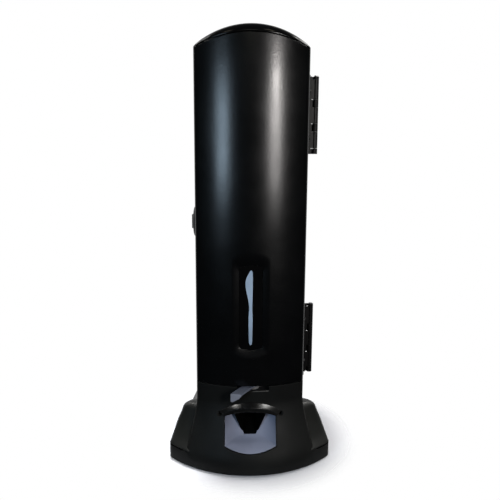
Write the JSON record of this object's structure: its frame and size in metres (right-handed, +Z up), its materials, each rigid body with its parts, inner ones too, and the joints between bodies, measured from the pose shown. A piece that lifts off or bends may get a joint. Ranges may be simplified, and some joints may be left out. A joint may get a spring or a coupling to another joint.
{
  "type": "cutlery dispenser",
  "caption": "Black countertop cutlery dispenser: a tall hinged tower with a knife sign, a push lever and a scoop outlet in a flared base.",
  "frame": {"origin": "middle of the footprint, on the surface that the feet stand on", "axes": "+Z up, the front with the lever and outlet faces -Y, and the hinges are on the +X side"},
  "size_m": [0.2382, 0.26, 0.613],
  "materials": {
    "black_satin": "satin black moulding",
    "black_gloss": "polished black",
    "black_matt": "matt black",
    "grey_blue": "glossy grey-blue moulding",
    "sign_blue": "pale blue inlay",
    "grey_plastic": "mid grey, matt",
    "black_metal": "satin black paint",
    "rubber": "matt black",
    "steel": "satin"
  },
  "bodies": {
    "base": {"base_deck": "black_matt", "base_housing": "black_satin", "base_plate": "black_matt", "base_skirt": "black_satin", "deck_screw_front_left": "steel", "deck_screw_front_right": "steel", "deck_screw_rear_left": "steel", "deck_screw_rear_right": "steel", "drop_ramp": "black_matt", "foot_front_left": "rubber", "foot_front_right": "rubber", "foot_rear_left": "rubber", "foot_rear_right": "rubber", "hinge_case_leaf_lower": "black_metal", "hinge_case_leaf_upper": "black_metal", "hinge_pin_lower": "steel", "hinge_pin_upper": "steel", "hinge_screw_case_lower_lower": "steel", "hinge_screw_case_lower_upper": "steel", "hinge_screw_case_upper_lower": "steel", "hinge_screw_case_upper_upper": "steel", "latch_rosette": "black_metal", "lever_pivot_bolt": "steel", "lever_pivot_nut": "steel", "magazine_guide_left": "grey_plastic", "magazine_guide_right": "grey_plastic", "outlet_chute": "grey_blue", "rear_shell": "black_satin", "return_spring": "steel", "top_cap": "black_gloss", "tower_floor": "black_matt"},
    "door": {"door_shell": "black_satin", "hinge_door_leaf_lower": "black_metal", "hinge_door_leaf_upper": "black_metal", "hinge_screw_door_lower_lower": "steel", "hinge_screw_door_lower_upper": "steel", "hinge_screw_door_upper_lower": "steel", "hinge_screw_door_upper_upper": "steel", "knife_sign": "sign_blue", "latch_keeper": "steel", "window_panel": "black_gloss"},
    "lever": {"push_lever": "grey_blue", "sector_gear": "grey_plastic"},
    "shuttle": {"shuttle": "grey_plastic"},
    "follower": {"follower_weight": "grey_blue"},
    "latch": {"latch_knob": "black_metal", "latch_hook": "steel", "latch_nut": "steel"}
  },
  "joints": [
    {"name": "door_swing", "type": "hinge", "parent": "base", "child": "door", "pos_m": [0.0909, -0.044, 0.35], "axis": [0, 0, 1], "range_deg": [0, 110]},
    {"name": "latch_turn", "type": "hinge", "parent": "base", "child": "latch", "pos_m": [-0.078, -0.018, 0.349], "axis": [1, 0, 0], "range_deg": [0, 90]},
    {"name": "lever_swing", "type": "hinge", "parent": "base", "child": "lever", "pos_m": [0.004, -0.081, 0.115], "axis": [0, 0, 1], "range_deg": [0, 65], "stiffness_Nm_per_rad": 0.17},
    {"name": "shuttle_slide", "type": "slide", "parent": "base", "child": "shuttle", "axis": [-1, 0, 0], "range_m": [0, 0.025], "deforming": ["return_spring"]},
    {"name": "follower_lift", "type": "slide", "parent": "base", "child": "follower", "axis": [0, 0, 1], "range_m": [0, 0.4]}
  ],
  "couplings": [
    {"joint": "shuttle_slide", "follows": "lever_swing", "m_per_rad": 0.022}
  ]
}
